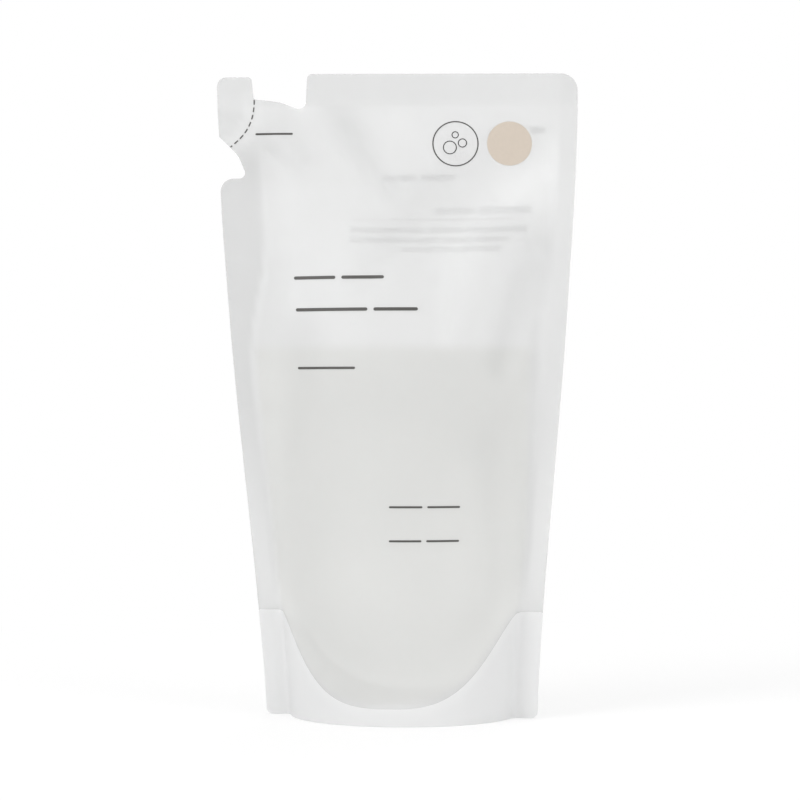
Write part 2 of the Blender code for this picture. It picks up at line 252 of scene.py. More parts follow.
# How much paler or darker than the open film its seals look, with painted light and shade on its
# folds, patches, foot and skirt corners, and how softly they end
TONE_LAYER = "tone"
SEAL_SOFTNESS = 0.0006
# Side seal bands: darker than the open film high up, going over to painted light from the white
# floor (below zero) towards the foot
LEFT_SEAL_TONE_AND_PAINTED_LIGHT = (-0.070, 0.075)
RIGHT_SEAL_TONE_AND_PAINTED_LIGHT = (-0.070, 0.020)
SIDE_SEAL_RISE = (0.040, 0.105)
TOP_SEAL_SHADE = 0.03
TOP_SEAL_SOFTNESS = (-0.0004, 0.0006)
# Painted light in the skirt's sealed corners
CORNER_PAINTED_LIGHT = 0.080
CORNER_SOFTNESS = 0.0035
# Painted light over the film's foot and along the U-shaped seal line, where the shaded inside shows
# through
FRONT_FOOT_PAINTED_LIGHT = 0.085
BACK_FOOT_PAINTED_LIGHT = 0.020
FOOT_PAINTED_LIGHT_REACH = 0.017
SEAL_LINE_PAINTED_LIGHT = 0.030
SEAL_LINE_REACH_BELOW = 0.0045
SEAL_LINE_REACH_ABOVE = 0.0022
TEAR_BAND_GLOW = 0.03
TEAR_BAND_SOFTNESS = (-0.0004, 0.0002)
TAB_CHANNEL_SHADE = 0.03
TAB_CHANNEL_SOFTNESS = 0.0002
# Painted highlight on the film's ridges and painted shade in its dents, per metre that it stands
# out
FOLD_PAINTED_LIGHT = 40.0
SPOUT_SEAL_FADE = (0.004, 0.014)
# Painted shade in soft patches beside the spout (above zero) and a painted highlight on a ridge
# (below zero): place, reach and shade
FILM_PAINTED_LIGHT_PATCHES = [
    ((-0.0415, 0.1665), (0.008, 0.008), 0.035),
    ((-0.0300, 0.1740), (0.018, 0.010), 0.045),
    ((0.0410, 0.1570), (0.010, 0.009), -0.045),
]

# Painted shade of the liquid behind the frosted film, with its tint, and its painted darker and
# (below zero) paler patches:
# place, reach and shade
LIQUID_PAINTED_SHADE = 0.048
LIQUID_TINT = (1.0, 1.0, 0.985)
LIQUID_TOP_SOFTNESS = 0.0018
LIQUID_SIDE_SOFTNESS = 0.0035
LIQUID_FOOT_SOFTNESS = 0.0030
LIQUID_RIGHT_DRAW = 0.0040
LIQUID_RIGHT_RISE = (0.050, 0.109)
LIQUID_PAINTED_LIGHT_PATCHES = [
    ((0.027, 0.092), (0.016, 0.020), 0.035),
    ((-0.017, 0.098), (0.022, 0.014), 0.025),
    ((0.000, 0.030), (0.060, 0.032), -0.055),
    ((0.040, 0.050), (0.015, 0.040), -0.075),
    ((0.046, 0.092), (0.008, 0.026), -0.060),
    ((-0.046, 0.055), (0.010, 0.050), -0.065),
    ((-0.040, 0.100), (0.014, 0.024), -0.035),
]

# Colours, the share of light that each face holds back, and its gloss
WHITE = (1.0, 1.0, 1.0, 1.0)
FILM_COLOUR = (0.887, 0.890, 0.889)
FILM_ALPHA = 0.55
FILM_GLASS = 0.20
FILM_ROUGHNESS = (0.36, 0.46)
FILM_IOR = 1.46
SEALED_COLOUR = (0.935, 0.938, 0.938)
SEALED_ALPHA = 0.88
SEALED_GLASS = 0.12
GUSSET_COLOUR = (0.85, 0.85, 0.85)
GUSSET_ALPHA = 0.15
LIQUID_ALPHA = 0.12
LIQUID_GLASS = 0.25
LIQUID_ROUGHNESS = 0.22
LIQUID_IOR = 1.36
LIQUID_UPPER_RISE = (0.035, 0.085)
# Span in x over which the liquid goes over to its warm tint, which also holds painted light on the
# right side
LIQUID_WARM_AND_LIGHT_RUN = (0.005, 0.036)
# Pale tone at the fill line, also painted as light on the liquid's thin edges and underside, which
# lie in shade
LIQUID_TOP_AND_EDGE_LIGHT = (0.86, 0.86, 0.85)
LIQUID_UPPER = (0.800, 0.803, 0.795)
LIQUID_LOWER = (0.840, 0.843, 0.835)
# Warm tint of the liquid's right side, paler than the upper tone as painted light
LIQUID_WARM_AND_PAINTED_LIGHT = (0.830, 0.824, 0.800)
LIQUID_FADE = 0.0036
LIQUID_EDGE = 0.0050
DARK_INK = (0.075, 0.072, 0.068)
BEIGE_INK = (0.590, 0.515, 0.437)
BACK_INK = (0.16, 0.16, 0.16)
INK_UNEVENNESS = 1.03
INK_ROUGHNESS = 0.5

# Fine variation: scale and detail of each noise, the part of it that is used, and bump heights
NOISE_SPAN = (0.3, 0.7)
CLOUD_NOISE = (42.0, 3.0)
CLOUD_TONE = (0.985, 1.0)
GRAIN_NOISE = (1500.0, 2.0)
GRAIN_BUMP = (0.12, 0.00004)
SLACK_NOISE = (75.0, 2.0)
SLACK_BUMP = (0.25, 0.0006)
INK_NOISE = (900.0, 2.0)

# Camera as fitted to the photograph
CAMERA_DISTANCE = 0.80
CAMERA_HEIGHT = 0.096
CAMERA_TURN = math.radians(1.5)
CAMERA_LENS = 118.25
SENSOR_WIDTH = 36.0
CAMERA_SHIFT = 0.004

# Light: the world's strength, and each lamp's place, size and power
AMBIENT = 0.72
LAMPS = {
    "key": ((-0.85, -0.75, 0.80), 0.8, 6.0),
    "fill": ((0.9, -0.7, 0.45), 0.8, 3.2),
    "back": ((0.35, 1.1, 0.9), 1.2, 3.0),
}
TARGET = (0.0, 0.0, 0.09)

# Floor: its colour as it lights the pouch and as it is seen, and its glow
FLOOR_RADIUS = 1.6
FLOOR_DROP = 0.0001
FLOOR_STEPS = 96
FLOOR_COLOUR = (0.80, 0.80, 0.80, 1.0)
FLOOR_SEEN_COLOUR = (0.42, 0.42, 0.42, 1.0)
FLOOR_GLOW = 0.586
FLOOR_SHADE_RADIUS = 0.17
FLOOR_WHITE_RADIUS = 0.34


def smooth_step(low, high, value):
    """Go smoothly from 0 at low to 1 at high."""
    t = min(max((value - low) / (high - low), 0.0), 1.0)
    return t * t * (3.0 - 2.0 * t)


def left_seal_edge(v):
    """Return how far left of the middle the open film reaches at height v."""
    wide = smooth_step(SPOUT_SIDE_SEAL_END, SPOUT_SIDE_SEAL_FULL, v)
    return HALF_WIDTH - SIDE_SEAL - (SPOUT_SIDE_SEAL - SIDE_SEAL) * wide


def body_depth(v):
    """Return how far the middle of one panel stands off the sealed plane at height v."""
    share = min(max(v / TOP_SEAL_EDGE, 0.0), 1.0)
    return HALF_DEPTH * (1.0 - share**DEPTH_POWER) ** DEPTH_ROUNDING


def foot_shift(v):
    """Return how far the middle stands to the right of the top's middle at height v."""
    return FOOT_SHIFT * (1.0 - v / HEIGHT) ** 2


def stand(point):
    """Turn a point of the formed pouch as the standing foot is turned against the top."""
    turned = point.copy()
    turned.rotate(Matrix.Rotation(-FOOT_TURN * (1.0 - point.z / HEIGHT), 3, "Z"))
    return turned


def bent_strip(half_length, end_angle):
    """Bend half a film strip, and return its running x and its height off the sealed plane."""
    run = np.linspace(0.0, half_length, SECTION_STEPS)
    ease = np.clip((half_length - run) / SEAL_EASE, 0.0, 1.0)
    angle = end_angle * (run / half_length) * ease * ease * (3.0 - 2.0 * ease)
    step = run[1] - run[0]
    along = (np.cos(angle[1:]) + np.cos(angle[:-1])) / 2.0 * step
    drop = (np.sin(angle[1:]) + np.sin(angle[:-1])) / 2.0 * step
    x = np.concatenate([[0.0], np.cumsum(along)])
    fallen = np.concatenate([[0.0], np.cumsum(drop)])
    return x, fallen[-1] - fallen


SECTIONS = {}
STRIP_SHARES = np.linspace(0.0, 1.0, SECTION_STEPS)


def section(index):
    """Return the bent cross-section at one of the evenly spaced heights, kept for the next call."""
    if index not in SECTIONS:
        v = index * SECTION_GRID
        half_length = (SEAL_EDGE + left_seal_edge(v)) / 2.0
        depth = body_depth(v)
        low, high = 0.0, math.pi
        for _ in range(SECTION_TRIES):
            angle = (low + high) / 2.0
            if bent_strip(half_length, angle)[1][0] < depth:
                low = angle
            else:
                high = angle
        SECTIONS[index] = bent_strip(half_length, low)
    return SECTIONS[index]


def strip_place(share, v):
    """Return x and height of the bent section at a share of its half length, at any height v."""
    index = math.floor(v / SECTION_GRID)
    part = v / SECTION_GRID - index
    below, above = section(index), section(index + 1)
    x = np.interp(share, STRIP_SHARES, below[0]) * (1.0 - part)
    y = np.interp(share, STRIP_SHARES, below[1]) * (1.0 - part)
    x += np.interp(share, STRIP_SHARES, above[0]) * part
    y += np.interp(share, STRIP_SHARES, above[1]) * part
    return float(x), float(y)


def segment_distance(u, v, start, end):
    """Return the distance of (u, v) from a segment, and how far along it that point lies."""
    du, dv = end[0] - start[0], end[1] - start[1]
    share = ((u - start[0]) * du + (v - start[1]) * dv) / (du * du + dv * dv)
    share = min(max(share, 0.0), 1.0)
    return math.hypot(u - start[0] - share * du, v - start[1] - share * dv), share


def creases(u, v, lines):
    """Return how far the dents and ridges move the film off its plain form."""
    total = 0.0
    for start, end, half_width, rise in lines:
        distance, share = segment_distance(u, v, start, end)
        taper = 1.0 - CREASE_TAPER * share
        total += rise * taper * math.exp(-((distance / (half_width * taper)) ** 2))
    return total


def puckers(v, from_seal, side):
    """Return the small waves of the film beside a side seal."""
    fade = math.exp(-from_seal / PUCKER_REACH) * smooth_step(0.0, PUCKER_START, from_seal)
    wave = 0.0
    for length, phase in PUCKER_WAVES:
        wave += math.sin(2.0 * math.pi * v / length + phase + side)
    return PUCKER_HEIGHT * fade * wave


def spout_channel(u, v):
    """Return the slight rise of the open pour channel between the body and the tab."""
    root = (-HALF_WIDTH + CHANNEL_ROOT_DISTANCE, HEIGHT - CHANNEL_ROOT_DROP)
    tip = (-HALF_WIDTH + TAB_WIDTH / 2.0, HEIGHT - TAB_DROP - TAB_HEIGHT / 2.0)
    distance, share = segment_distance(u, v, root, tip)
    reach = min(distance / CHANNEL_HALF_WIDTH, 1.0)
    return CHANNEL_RISE * (1.0 - CHANNEL_TAPER * share) * (1.0 - reach * reach) ** 2


def gusset_room(v):
    """Return what each panel leaves in the seals for its half of the folded gusset."""
    room = FOLD_SLIT / 2.0 + FILM + GAP
    room *= 1.0 - smooth_step(GUSSET_HEIGHT + GAP, GUSSET_HEIGHT + SEAM_TAPER, v)
    return max(room, SEAL_SLIT / 2.0)


def panel_point(u, v, lines):
    """Return x, the distance off the sealed plane, and z of a panel's inner face."""
    left = -left_seal_edge(v)
    half_length = (SEAL_EDGE - left) / 2.0
    from_middle = u - (SEAL_EDGE + left) / 2.0
    inside = min(abs(from_middle), half_length)
    beyond = abs(from_middle) - inside
    x, height = strip_place(inside / half_length, v)
    left_flange = HALF_WIDTH + left
    right_flange = HALF_WIDTH - SEAL_EDGE
    shift = foot_shift(v) + (left_flange - right_flange) / 2.0
    from_seal = half_length - abs(from_middle)
    free = smooth_step(0.0, CREASE_TOP_FADE, TOP_SEAL_EDGE - v)
    free *= smooth_step(0.0, CREASE_FOOT_FADE, v - SKIRT)
    dents = creases(u, v, lines) * smooth_step(0.0, CREASE_SIDE_FADE, from_seal)
    if lines and from_seal > 0.0:
        dents += puckers(v, from_seal, math.copysign(1.0, from_middle))
    offset = max(height + dents * free + spout_channel(u, v), 0.0)
    return Vector((math.copysign(x + beyond, from_middle) + shift, offset + gusset_room(v), v))


def inside_point(u, v, lines, depth):
    """Return the point that lies depth inside a panel's inner face, square to it."""
    low_u, high_u = max(u - NORMAL_REACH, -HALF_WIDTH), min(u + NORMAL_REACH, HALF_WIDTH)
    low_v, high_v = max(v - NORMAL_REACH, 0.0), min(v + NORMAL_REACH, HEIGHT)
    across = panel_point(high_u, v, lines) - panel_point(low_u, v, lines)
    up = panel_point(u, high_v, lines) - panel_point(u, low_v, lines)
    outward = up.cross(across).normalized()
    if outward.y < 0.0:
        outward = -outward
    point = panel_point(u, v, lines) - outward * depth
    return Vector((point.x, point.y, v))


def rounded_outline(corners):
    """Return an outline through (u, v, radius) corners, each rounded by its own radius."""
    points = []
    count = len(corners)
    for index, (u, v, radius) in enumerate(corners):
        here = Vector((u, v))
        before = (Vector(corners[index - 1][:2]) - here).normalized()
        after = (Vector(corners[(index + 1) % count][:2]) - here).normalized()
        if radius <= 0.0:
            points.append(here)
            continue
        half = before.angle(after) / 2.0
        centre = here + (before + after).normalized() * (radius / math.sin(half))
        first = here + before * (radius / math.tan(half)) - centre
        turn = math.pi - 2.0 * half
        if before.x * after.y - before.y * after.x > 0.0:
            turn = -turn
        steps = max(2, math.ceil(abs(turn) / ARC_STEP))
        for step in range(steps + 1):
            turned = first.copy()
            turned.rotate(Matrix.Rotation(turn * step / steps, 2))
            points.append(centre + turned)
    return points


def panel_outline():
    """Return the cut outline of both panels, anticlockwise from the foot's left corner."""
    left, right, top = -HALF_WIDTH, HALF_WIDTH, HEIGHT
    tab_top = top - TAB_DROP
    notch = top - NOTCH_DROP
    return rounded_outline([
        (left, 0.0, FOOT_CORNER_RADIUS),
        (right, 0.0, FOOT_CORNER_RADIUS),
        (right, top, TOP_CORNER_RADIUS),
        (left + SLOT_DISTANCE, top, SHOULDER_RADIUS),
        (left + SLOT_DISTANCE - SLOT_LEAN, top - SLOT_DROP, SLOT_RADIUS),
        (left + SPOUT_LIP_DISTANCE, top - SPOUT_LIP_DROP, SPOUT_LIP_RADIUS),
        (left + TAB_WIDTH + TAB_LEAN, top - SPOUT_TOP_DROP, SPOUT_TOP_RADIUS),
        (left + TAB_WIDTH, tab_top, TAB_INNER_RADIUS),
        (left, tab_top, TAB_OUTER_RADIUS),
        (left + TAB_DRAW_IN, tab_top - TAB_HEIGHT, TAB_FOOT_RADIUS),
        (left + THROAT_DISTANCE, top - THROAT_DROP, THROAT_RADIUS),
        (left + NOTCH_DISTANCE, notch, NOTCH_RADIUS),
        (left + LOWER_SHOULDER_INSET, notch, LOWER_SHOULDER_RADIUS),
        (left, notch - LOWER_SHOULDER_RUN, 0.0),
    ])


def edge_points(loop):
    """Add points along the straight runs of a loop."""
    points = []
    for index, here in enumerate(loop):
        after = loop[(index + 1) % len(loop)]
        parts = max(1, round((after - here).length / GRID_STEP))
        points += [here.lerp(after, part / parts) for part in range(parts)]
    return points


def seal_line():
    """Return points along the U-shaped seal line, from one side seal to the other."""
    reach = HALF_WIDTH - EDGE_CLEARANCE
    count = math.ceil(2.0 * reach / GRID_STEP)
    places = [reach * (2.0 * index / count - 1.0) for index in range(count + 1)]
    return [Vector((u, gusset_seal_height(u))) for u in places]


def flat_panel():
    """Return the points and triangles of the flat panel, with edges along the seal line."""
    loop = edge_points(panel_outline())
    line = seal_line()
    points = loop + line
    kept = np.array([tuple(point) for point in points])
    columns = np.linspace(-HALF_WIDTH, HALF_WIDTH, math.ceil(FLAT_WIDTH / GRID_STEP) + 1)
    rows = np.linspace(0.0, HEIGHT, math.ceil(HEIGHT / GRID_STEP) + 1)
    for v in rows[1:-1]:
        for u in columns[1:-1]:
            if np.min(np.hypot(kept[:, 0] - u, kept[:, 1] - v)) > EDGE_CLEARANCE:
                points.append(Vector((u, v)))
    edges = [(index, (index + 1) % len(loop)) for index in range(len(loop))]
    edges += [(len(loop) + index, len(loop) + index + 1) for index in range(len(line) - 1)]
    made = delaunay_2d_cdt(points, edges, [list(range(len(loop)))], 1, CUT_PRECISION)
    return made[0], made[2]


def below_seal_line(corners):
    """Tell whether a triangle of flat points lies below the seal line."""
    middle = sum(corners, Vector((0.0, 0.0))) / len(corners)
    return middle.y < gusset_seal_height(middle.x)


def bezier(curve, share):
    """Return the point of a cubic Bezier curve."""
    rest = 1.0 - share
    weights = (rest**3, 3.0 * rest * rest * share, 3.0 * rest * share * share, share**3)
    x = sum(weight * point[0] for weight, point in zip(weights, curve))
    z = sum(weight * point[1] for weight, point in zip(weights, curve))
    return x, z


def tear_distance(u, v):
    """Return how far (u, v) lies from the tear line, positive on the spout's side."""
    best = None
    for step in range(TEAR_STEPS):
        start = bezier(TEAR_CURVE, step / TEAR_STEPS)
        end = bezier(TEAR_CURVE, (step + 1) / TEAR_STEPS)
        distance, _ = segment_distance(u, v, start, end)
        if best is None or distance < best[0]:
            side = (end[0] - start[0]) * (v - start[1]) - (end[1] - start[1]) * (u - start[0])
            best = (distance, side)
    return math.copysign(best[0], best[1])


def gusset_seal_height(u):
    """Return the height of the U-shaped line up to which the gusset is sealed to a panel."""
    share = min(abs(u) / SEAL_EDGE, 1.0)
    rise = math.sin(math.pi / 2.0 * share**SEAL_LINE_POWER) ** 2
    return SKIRT + (GUSSET_HEIGHT - SKIRT) * rise


def liquid_depth(u, v):
    """Return how deep the liquid is behind the film at (u, v), from 0 softly up to 1."""
    drawn = LIQUID_RIGHT_DRAW * smooth_step(*LIQUID_RIGHT_RISE, v)
    side = min(left_seal_edge(v) + u, SEAL_EDGE - drawn - u)
    depth = smooth_step(0.0, LIQUID_SIDE_SOFTNESS, side)
    depth *= smooth_step(-LIQUID_TOP_SOFTNESS, LIQUID_TOP_SOFTNESS, FILL_HEIGHT - v)
    return depth * smooth_step(0.0, LIQUID_FOOT_SOFTNESS, v - gusset_seal_height(u))


def patches(u, v, places):
    """Return the sum of soft patches at (u, v)."""
    total = 0.0
    for (place_u, place_v), (reach_u, reach_v), shade in places:
        away = ((u - place_u) / reach_u) ** 2 + ((v - place_v) / reach_v) ** 2
        total += shade * math.exp(-away)
    return total


def between(pair, share):
    """Return the value that lies a share of the way between two."""
    return pair[0] + (pair[1] - pair[0]) * share


def skirt_tone(u, above_line):
    """Return the sealed skirt's tone, with painted light in its corners and close to the seal line.
    """
    corner = smooth_step(-CORNER_SOFTNESS, CORNER_SOFTNESS, abs(u) - SEAL_EDGE)
    near_line = smooth_step(-SEAL_LINE_REACH_BELOW, 0.0, above_line)
    return 1.0 + CORNER_PAINTED_LIGHT * corner + SEAL_LINE_PAINTED_LIGHT * near_line * (1.0 - corner)


def tab_tone(u, v):
    """Return how much paler or darker the film looks round the tear line and in the tab."""
    if u >= -HALF_WIDTH + SLOT_DISTANCE or v <= HEIGHT - NOTCH_DROP:
        return 0.0
    away = tear_distance(u, v)
    band = 1.0 - smooth_step(*TEAR_BAND_SOFTNESS, abs(away) - TEAR_BAND)
    tone = TEAR_BAND_GLOW * band
    if away < 0.0:
        shut = smooth_step(-TAB_CHANNEL_SOFTNESS, TAB_CHANNEL_SOFTNESS, TAB_CHANNEL_TOP - v)
        tone -= TAB_CHANNEL_SHADE * shut * (1.0 - band)
    return tone


def film_tone(u, v, lines, foot_painted_light):
    """Return the film's tone at (u, v): 1 in the open body, other in seals, with painted light and
    shade on folds, patches, liquid, foot and skirt.
    """
    above_line = v - gusset_seal_height(u)
    if above_line <= 0.0:
        return skirt_tone(u, above_line)
    in_spout = smooth_step(*SPOUT_SEAL_FADE, v - (HEIGHT - NOTCH_DROP))
    left = smooth_step(-SEAL_SOFTNESS, SEAL_SOFTNESS, -left_seal_edge(v) - u) * (1.0 - in_spout)
    right = smooth_step(-SEAL_SOFTNESS, SEAL_SOFTNESS, u - SEAL_EDGE)
    top = smooth_step(*TOP_SEAL_SOFTNESS, v - TOP_SEAL_EDGE)
    height = smooth_step(*SIDE_SEAL_RISE, v)
    # Side seal tones, with painted light from the floor towards the foot
    tone = 1.0 - between(LEFT_SEAL_TONE_AND_PAINTED_LIGHT, height) * left - between(RIGHT_SEAL_TONE_AND_PAINTED_LIGHT, height) * right
    # Painted highlight on ridges and painted shade in dents
    tone += FOLD_PAINTED_LIGHT * creases(u, v, lines) * (1.0 - max(left, right, top))
    # Painted shade and highlight in soft patches of the film
    tone -= TOP_SEAL_SHADE * top + patches(u, v, FILM_PAINTED_LIGHT_PATCHES)
    # Painted shade where the liquid lies behind the film, with its painted patches
    tone -= (LIQUID_PAINTED_SHADE + patches(u, v, LIQUID_PAINTED_LIGHT_PATCHES)) * liquid_depth(u, v)
    # Painted light along the seal line and over the foot, against the shade of the inside
    off_line = smooth_step(0.0, SEAL_LINE_REACH_ABOVE, above_line)
    glow = between((SEAL_LINE_PAINTED_LIGHT, foot_painted_light), off_line)
    glow *= 1.0 - smooth_step(0.0, FOOT_PAINTED_LIGHT_REACH, above_line)
    return tone + glow * (1.0 - max(left, right)) + tab_tone(u, v)


def columns():
    """Return the film's columns from the middle outwards, closer together beside the seal."""
    bend = SEAL_EDGE - BEND_WIDTH
    body = [bend * index / BODY_COLUMNS for index in range(BODY_COLUMNS)]
    edge = [bend + BEND_WIDTH * index / BEND_COLUMNS for index in range(BEND_COLUMNS + 1)]
    return body + edge + [SEAL_EDGE + SIDE_SEAL / 2.0]


def both_sides(places):
    """Return places from the middle outwards as places from left to right."""
    return [-place for place in places[:0:-1]] + places


def add_object(name, mesh, material):
    """Add a smooth shaded mesh object to the scene."""
    mesh.materials.append(material)
    mesh.shade_smooth()
    made = bpy.data.objects.new(name, mesh)
    bpy.context.scene.collection.objects.link(made)
    return made


def add_thickness(piece, thickness):
    """Give a sheet its thickness outwards, and keep its cut edges crisp."""
    film = piece.modifiers.new("Thickness", "SOLIDIFY")
    film.thickness = thickness
    film.offset = 1.0
    film.use_even_offset = True
    graph = bpy.context.evaluated_depsgraph_get()
    thick = bpy.data.meshes.new_from_object(piece.evaluated_get(graph))
    piece.modifiers.clear()
    piece.data = thick
    thick.set_sharp_from_angle(angle=SHARP_ANGLE)


def set_tones(mesh, points, lines, foot_painted_light):
    """Write each point's tone, with its painted light and shade and the liquid's tint, as the
    colour that the materials read.
    """
    attribute = mesh.color_attributes.new(TONE_LAYER, "FLOAT_COLOR", "POINT")
    for point, item in zip(points, attribute.data):
        tone = film_tone(point.x, point.y, lines, foot_painted_light)
        depth = liquid_depth(point.x, point.y)
        tinted = [tone * (1.0 + (tint - 1.0) * depth) for tint in LIQUID_TINT]
        item.color = (*tinted, 1.0)


def make_panel(name, side, lines, material, sealed_material):
    """Form one flat panel, side -1 for the front and 1 for the back, and give it its film."""
    points, triangles = flat_panel()
    build = bmesh.new()
    vertices = []
    for point in points:
        x, y, z = panel_point(point.x, point.y, lines)
        vertices.append(build.verts.new(stand(Vector((x, side * y, z)))))
    for triangle in triangles:
        corners = [vertices[index] for index in triangle]
        face = build.faces.new(corners if side < 0 else corners[::-1])
        face.material_index = int(below_seal_line([points[index] for index in triangle]))
    mesh = bpy.data.meshes.new(name)
    build.to_mesh(mesh)
    build.free()
    set_tones(mesh, points, lines, FRONT_FOOT_PAINTED_LIGHT if side < 0 else BACK_FOOT_PAINTED_LIGHT)
    panel = add_object(name, mesh, material)
    mesh.materials.append(sealed_material)
    add_thickness(panel, SHEET)
    return panel


def join_rings(build, rings):
    """Join each ring of vertices to the next one with quads."""
    for ring, following in zip(rings, rings[1:]):
        for index in range(len(ring)):
            after = (index + 1) % len(ring)
            build.faces.new((ring[index], ring[after], following[after], following[index]))


def close_ends(build, rings):
    """Close the first and the last ring by faces between their two halves."""
    for ring in (rings[0], rings[-1]):
        half = len(ring) // 2
        for index in range(half - 1):
            build.faces.new((ring[index], ring[index + 1], ring[-index - 2], ring[-index - 1]))
        if len(ring) % 2:
            build.faces.new(ring[half - 1:half + 2])


def finish_body(build, name, material):
    """Turn a closed body's faces outwards and add it to the scene."""
    bmesh.ops.recalc_face_normals(build, faces=build.faces[:])
    mesh = bpy.data.meshes.new(name)
    build.to_mesh(mesh)
    build.free()
    body = add_object(name, mesh, material)
    mesh.set_sharp_from_angle(angle=SHARP_ANGLE)
    return body


def foot_edge(u):
    """Return how high the film's lower edge is at its rounded foot corners."""
    into = abs(u) - (HALF_WIDTH - FOOT_CORNER_RADIUS)
    if into <= 0.0:
        return 0.0
    into = min(into, FOOT_CORNER_RADIUS)
    return FOOT_CORNER_RADIUS - math.sqrt(FOOT_CORNER_RADIUS**2 - into**2)


def middle_x(u):
    """Return the x of column u on the gusset's middle line."""
    if abs(u) > SEAL_EDGE:
        return panel_point(u, GUSSET_HEIGHT, []).x
    end = panel_point(math.copysign(SEAL_EDGE, u), GUSSET_HEIGHT, [])
    shift = foot_shift(GUSSET_HEIGHT)
    share = abs(u) / SEAL_EDGE
    drawn = share * (1.0 - MIDDLE_DRAW * share**3 * (1.0 - share))
    return shift + (end.x - shift) * drawn


def half_span(u, lift):
    """Return the points of the gusset's lifted underside from beside its seal line to the middle.

    The span sags from the seal line, and where it would hang lower it lies on the floor.
    """
    start = inside_point(u, gusset_seal_height(u), [], GAP + FILM)
    x = middle_x(u)
    sag = GUSSET_SAG * start.y * start.y / (start.y + SAG_EASE)
    points = []
    for step in range(1, SPAN_STEPS + 1):
        rest = 1.0 - step / SPAN_STEPS
        blend = rest * rest
        height = max(start.z - sag * (1.0 - blend), 0.0)
        points.append(Vector((x + (start.x - x) * blend, start.y * rest, height + lift)))
    return points


def to_front(points):
    """Return points given by their distance off the sealed plane, on the front side."""
    return [Vector((point.x, -point.y, point.z)) for point in points]


def gusset_loop(u):
    """Return the gusset's closed section at column u, out along one face and back on the other."""
    foot = foot_edge(u)
    seal_top = gusset_seal_height(u)
    outer, inner = [], []
    for step in range(LEG_STEPS + 1):
        share = step / LEG_STEPS
        outer.append(inside_point(u, foot + (seal_top + SPAN_LIFT - foot) * share, [], GAP))
        inner.append(inside_point(u, foot + (seal_top - foot) * share, [], GAP + FILM))
    outer += half_span(u, SPAN_LIFT)
    inner += half_span(u, 0.0)
    outer = to_front(outer) + outer[-2::-1]
    inner = to_front(inner) + inner[-2::-1]
    return outer + inner[::-1]


def seam_loop(side, v):
    """Return the corners of the sealed layers between the panels' cut edges at height v."""
    loop = []
    for inset in SEAM_INSETS:
        u = side * (HALF_WIDTH - inset)
        height = max(v, foot_edge(u))
        point = panel_point(u, height, [])
        loop.append(Vector((point.x, point.y - SEAM_ROOM, height)))
    return to_front(loop) + loop[::-1]


def add_seam(build, side):
    """Fill the seam at one cut side edge, as far up as the layers stand apart."""
    rings = []
    for row in range(SEAM_ROWS + 1):
        v = (GUSSET_HEIGHT + SEAM_TAPER) * row / SEAM_ROWS
        rings.append([build.verts.new(stand(point)) for point in seam_loop(side, v)])
    join_rings(build, rings)
    close_ends(build, rings)


def make_gusset(material, seam_material):
    """Fold the bottom film across the pouch, and fill the seams at its two ends."""
    build = bmesh.new()
    rings = []
    for u in both_sides(columns()[:-1] + [HALF_WIDTH - GUSSET_INSET]):
        rings.append([build.verts.new(stand(point)) for point in gusset_loop(u)])
    join_rings(build, rings)
    close_ends(build, rings)
    film_faces = len(build.faces)
    for side in (-1.0, 1.0):
        add_seam(build, side)
    build.faces.ensure_lookup_table()
    for face in build.faces[film_faces:]:
        face.material_index = 1
    gusset = finish_body(build, "film_gusset", material)
    gusset.data.materials.append(seam_material)
    return gusset


def liquid_side(u, lines):
    """Return the liquid's points at column u, down one panel and in along the gusset."""
    foot = gusset_seal_height(u) + SPAN_LIFT + FOLD_ROOM
    side = []
    for step in range(SIDE_STEPS + 1):
        v = FILL_HEIGHT + (foot - FILL_HEIGHT) * step / SIDE_STEPS
        side.append(inside_point(u, v, lines, LIQUID_GAP))
    return side + half_span(u, SPAN_LIFT + SPAN_ROOM)


def liquid_tones(u, widest):
    """Return how much of the liquid's own colour shows at the points of liquid_side: 0 where it is
    thin and lies in shade, painted pale instead, to 1.
    """
    foot = gusset_seal_height(u) + SPAN_LIFT + FOLD_ROOM
    edge = smooth_step(0.0, LIQUID_EDGE, widest - abs(u))
    tones = []
    for step in range(SIDE_STEPS + 1):
        rise = (FILL_HEIGHT - foot) * (1.0 - step / SIDE_STEPS)
        tones.append(edge * smooth_step(0.0, LIQUID_EDGE, rise))
    return tones + [edge * step / SPAN_STEPS for step in range(1, SPAN_STEPS + 1)]


def make_liquid(material):
    """Join the liquid's two sides into one closed body with a level top."""
    widest = SEAL_EDGE - LIQUID_SIDE_MARGIN
    build = bmesh.new()
    layer = build.verts.layers.float_color.new(TONE_LAYER)
    rings = []
    for u in both_sides([place for place in columns() if place < widest - LIQUID_GAP] + [widest]):
        front = to_front(liquid_side(u, FRONT_CREASES))
        back = liquid_side(u, BACK_CREASES)
        tones = liquid_tones(u, widest)
        ring = []
        for point, tone in zip(front + back[-2::-1], tones + tones[-2::-1]):
            vertex = build.verts.new(stand(point))
            vertex[layer] = (tone, tone, tone, 1.0)
            ring.append(vertex)
        rings.append(ring)
    join_rings(build, rings)
    close_ends(build, rings)
    return finish_body(build, "liquid_body", material)


def film_surface(panel):
    """Return a search tree of a finished film's faces."""
    return BVHTree.FromPolygons(
        [vertex.co for vertex in panel.data.vertices],
        [face.vertices[:] for face in panel.data.polygons],
    )


def on_film(surface, side, x, z):
    """Return the point just outside the film at x and z, side -1 for the front, 1 for the back."""
    start = Vector((x, side, z))
    hit, normal, _, _ = surface.ray_cast(start, Vector((0.0, -side, 0.0)))
    if hit is None:
        return Vector((x, 0.0, z))
    if normal.y * side < 0.0:
        normal = -normal
    return hit + normal * PRINT_LIFT


